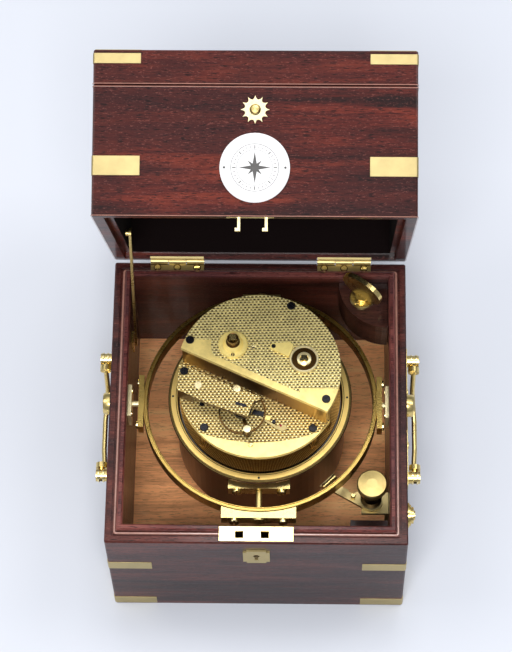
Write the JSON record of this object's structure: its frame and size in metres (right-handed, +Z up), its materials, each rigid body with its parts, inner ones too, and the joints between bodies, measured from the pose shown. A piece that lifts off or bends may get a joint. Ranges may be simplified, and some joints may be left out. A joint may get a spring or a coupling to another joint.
{
  "type": "marine chronometer",
  "caption": "Box chronometer: brass bowl in gimbals in a hinged wooden box, movement shown turned over, lid on a stay.",
  "frame": {"origin": "centre of the base box's flat underside", "axes": "+Z up, +X to the right side with the locking arm, -Y to the front with the keyhole"},
  "size_m": [0.2032, 0.2828, 0.3237],
  "materials": {
    "case_base": "glossy red-brown mahogany, french polished",
    "rim_lip": "glossy red-brown mahogany, french polished",
    "middle_frame": "glossy red-brown mahogany, french polished",
    "top_lid": "glossy red-brown mahogany, french polished",
    "lock_corner_block": "satin dark mahogany",
    "key_block": "satin dark mahogany",
    "striker_plate": "lacquered polished brass",
    "lock_case": "lacquered polished brass",
    "lock_bolt": "lacquered polished brass",
    "keyhole_escutcheon": "lacquered polished brass",
    "hinge_base_left": "lacquered polished brass",
    "hinge_base_right": "lacquered polished brass",
    "hinge_lid_left": "lacquered polished brass",
    "hinge_lid_right": "lacquered polished brass",
    "stay_bracket": "lacquered polished brass",
    "stay_rod": "lacquered polished brass",
    "gimbal_bracket_left": "lacquered polished brass",
    "gimbal_bracket_right": "lacquered polished brass",
    "gimbal_ring": "lacquered polished brass",
    "ring_block_front": "lacquered polished brass",
    "ring_block_rear": "lacquered polished brass",
    "bowl": "lacquered polished brass",
    "bowl_pivot_front": "lacquered polished brass",
    "bowl_pivot_rear": "lacquered polished brass",
    "lock_bracket": "lacquered polished brass",
    "lock_arm": "lacquered polished brass",
    "lock_knob": "lacquered polished brass",
    "winding_key": "lacquered polished brass",
    "key_socket": "lacquered polished brass",
    "handle_left": "lacquered polished brass",
    "handle_right": "lacquered polished brass",
    "bail_left": "lacquered polished brass",
    "bail_right": "lacquered polished brass",
    "star_escutcheon": "lacquered polished brass",
    "push_button": "lacquered polished brass",
    "top_hinge_left": "lacquered polished brass",
    "top_hinge_right": "lacquered polished brass",
    "edge_ring": "lacquered polished brass",
    "winding_boss": "lacquered polished brass",
    "fusee": "lacquered polished brass",
    "barrel": "lacquered polished brass",
    "centre_wheel": "lacquered polished brass",
    "fourth_wheel": "lacquered polished brass",
    "escape_wheel": "lacquered polished brass",
    "balance": "lacquered polished brass",
    "pillar_plate": "spotted brass with polished edges",
    "upper_plate": "spotted brass with polished edges",
    "lower_plate": "spotted brass with polished edges",
    "step_wall": "spotted brass with polished edges",
    "balance_cock": "spotted brass with polished edges",
    "hook_plate": "polished steel",
    "ratchet_wheel": "polished steel",
    "click": "polished steel",
    "balance_spring": "blued steel",
    "minute_hand": "blued steel",
    "hour_hand": "blued steel",
    "detent": "blued steel",
    "plaque": "matt silvered",
    "dial": "matt silvered",
    "glass_pane": "clear glass"
  },
  "bodies": {
    "box": {"case_base": "case_base", "rim_lip": "rim_lip", "striker_plate": "striker_plate", "lock_case": "lock_case", "keyhole_escutcheon": "keyhole_escutcheon", "hinge_base_left": "hinge_base_left", "hinge_base_right": "hinge_base_right", "stay_bracket": "stay_bracket", "gimbal_bracket_left": "gimbal_bracket_left", "gimbal_bracket_right": "gimbal_bracket_right", "lock_corner_block": "lock_corner_block", "lock_bracket": "lock_bracket", "key_block": "key_block", "key_socket": "key_socket", "handle_left": "handle_left", "handle_right": "handle_right"},
    "bolt": {"lock_bolt": "lock_bolt"},
    "middle": {"middle_frame": "middle_frame", "glass_pane": "glass_pane", "hook_plate": "hook_plate", "star_escutcheon": "star_escutcheon", "plaque": "plaque", "hinge_lid_left": "hinge_lid_left", "hinge_lid_right": "hinge_lid_right", "top_hinge_left": "top_hinge_left", "top_hinge_right": "top_hinge_right"},
    "button": {"push_button": "push_button"},
    "stay": {"stay_rod": "stay_rod"},
    "lid": {"top_lid": "top_lid"},
    "ring": {"gimbal_ring": "gimbal_ring", "ring_block_front": "ring_block_front", "ring_block_rear": "ring_block_rear"},
    "bowl": {"bowl": "bowl", "bowl_pivot_front": "bowl_pivot_front", "bowl_pivot_rear": "bowl_pivot_rear"},
    "movement": {"dial": "dial", "edge_ring": "edge_ring", "pillar_plate": "pillar_plate", "lower_plate": "lower_plate", "upper_plate": "upper_plate", "step_wall": "step_wall", "balance_cock": "balance_cock", "balance_spring": "balance_spring", "winding_boss": "winding_boss", "ratchet_wheel": "ratchet_wheel", "detent": "detent"},
    "balance": {"balance": "balance"},
    "click": {"click": "click"},
    "fusee": {"fusee": "fusee"},
    "barrel": {"barrel": "barrel"},
    "centre": {"centre_wheel": "centre_wheel", "minute_hand": "minute_hand"},
    "hour": {"hour_hand": "hour_hand"},
    "fourth": {"fourth_wheel": "fourth_wheel"},
    "escape": {"escape_wheel": "escape_wheel"},
    "arm": {"lock_arm": "lock_arm"},
    "knob": {"lock_knob": "lock_knob"},
    "key": {"winding_key": "winding_key"},
    "bail_l": {"bail_left": "bail_left"},
    "bail_r": {"bail_right": "bail_right"}
  },
  "joints": [
    {"name": "lid_hinge", "type": "hinge", "parent": "box", "child": "middle", "pos_m": [0, 0.096, 0.11215], "axis": [-1, 0, 0], "range_deg": [-71.14, 0]},
    {"name": "stay_pivot", "type": "hinge", "parent": "middle", "child": "stay", "pos_m": [-0.0789, 0.08359, 0.17554], "axis": [-1, 0, 0], "range_deg": [-0.5, 20]},
    {"name": "top_lid_hinge", "type": "hinge", "parent": "middle", "child": "lid", "pos_m": [0, 0.1684, 0.13561], "axis": [-1, 0, 0], "range_deg": [0, 100]},
    {"name": "push_button_press", "type": "slide", "parent": "middle", "child": "button", "axis": [0, 0.3233, -0.9463], "range_m": [0, 0.0025], "stiffness_N_per_m": 300, "springref_m": -0.001},
    {"name": "gimbal_ring_pivot", "type": "hinge", "parent": "box", "child": "ring", "pos_m": [0.0012, 0.001, 0.102], "axis": [1, 0, 0], "range_deg": [-10, 10]},
    {"name": "bowl_pivot", "type": "hinge", "parent": "ring", "child": "bowl", "pos_m": [0.0012, 0.001, 0.102], "axis": [0, 1, 0], "range_deg": [-10, 10]},
    {"name": "movement_lift", "type": "slide", "parent": "bowl", "child": "movement", "axis": [0, 0, 1], "range_m": [0, 0.03]},
    {"name": "balance_turn", "type": "hinge", "parent": "movement", "child": "balance", "pos_m": [-0.009, -0.0208, 0.14], "axis": [0, 0, 1], "range_deg": [-150, 150], "stiffness_Nm_per_rad": 0.00012},
    {"name": "click_pivot", "type": "hinge", "parent": "movement", "child": "click", "pos_m": [0.0099, 0.0156, 0.157], "axis": [0, 0, 1], "range_deg": [0, 8], "stiffness_Nm_per_rad": 0.005},
    {"name": "fourth_turn", "type": "hinge", "parent": "movement", "child": "fourth", "pos_m": [0.008, -0.016, 0.115], "axis": [0, 0, 1], "continuous": true},
    {"name": "centre_turn", "type": "hinge", "parent": "movement", "child": "centre", "pos_m": [0.0012, 0.001, 0.115], "axis": [0, 0, 1], "continuous": true},
    {"name": "hour_turn", "type": "hinge", "parent": "movement", "child": "hour", "pos_m": [0.0012, 0.001, 0.108], "axis": [0, 0, 1], "continuous": true},
    {"name": "fusee_turn", "type": "hinge", "parent": "movement", "child": "fusee", "pos_m": [-0.0148, 0.0168, 0.115], "axis": [0, 0, 1], "continuous": true},
    {"name": "barrel_turn", "type": "hinge", "parent": "movement", "child": "barrel", "pos_m": [0.0285, 0.0071, 0.115], "axis": [0, 0, 1], "continuous": true},
    {"name": "escape_turn", "type": "hinge", "parent": "movement", "child": "escape", "pos_m": [0.006, -0.0275, 0.115], "axis": [0, 0, 1], "continuous": true},
    {"name": "lock_arm_swing", "type": "hinge", "parent": "box", "child": "arm", "pos_m": [0.0707, -0.0555, 0.0823], "axis": [0, 0, 1], "range_deg": [0, 40]},
    {"name": "lock_knob_turn", "type": "hinge", "parent": "arm", "child": "knob", "pos_m": [0.0707, -0.0555, 0.085], "axis": [0, 0, 1], "range_deg": [0, 90]},
    {"name": "winding_key_lift", "type": "slide", "parent": "box", "child": "key", "axis": [0, 0, 1], "range_m": [0, 0.045]},
    {"name": "lock_bolt_throw", "type": "slide", "parent": "box", "child": "bolt", "axis": [1, 0, 0], "range_m": [0, 0.0028]},
    {"name": "bail_left_swing", "type": "hinge", "parent": "box", "child": "bail_l", "pos_m": [-0.0981, 0, 0.083], "axis": [0, 1, 0], "range_deg": [0, 90]},
    {"name": "bail_right_swing", "type": "hinge", "parent": "box", "child": "bail_r", "pos_m": [0.0981, 0, 0.083], "axis": [0, -1, 0], "range_deg": [0, 90]}
  ],
  "couplings": [
    {"joint": "stay_pivot", "follows": "lid_hinge", "ratio": -0.2738},
    {"joint": "centre_turn", "follows": "fourth_turn", "ratio": 0.016667},
    {"joint": "hour_turn", "follows": "fourth_turn", "ratio": 0.0013889},
    {"joint": "fusee_turn", "follows": "fourth_turn", "ratio": -0.0020833},
    {"joint": "barrel_turn", "follows": "fourth_turn", "ratio": -0.0022727},
    {"joint": "escape_turn", "follows": "fourth_turn", "ratio": -8}
  ]
}
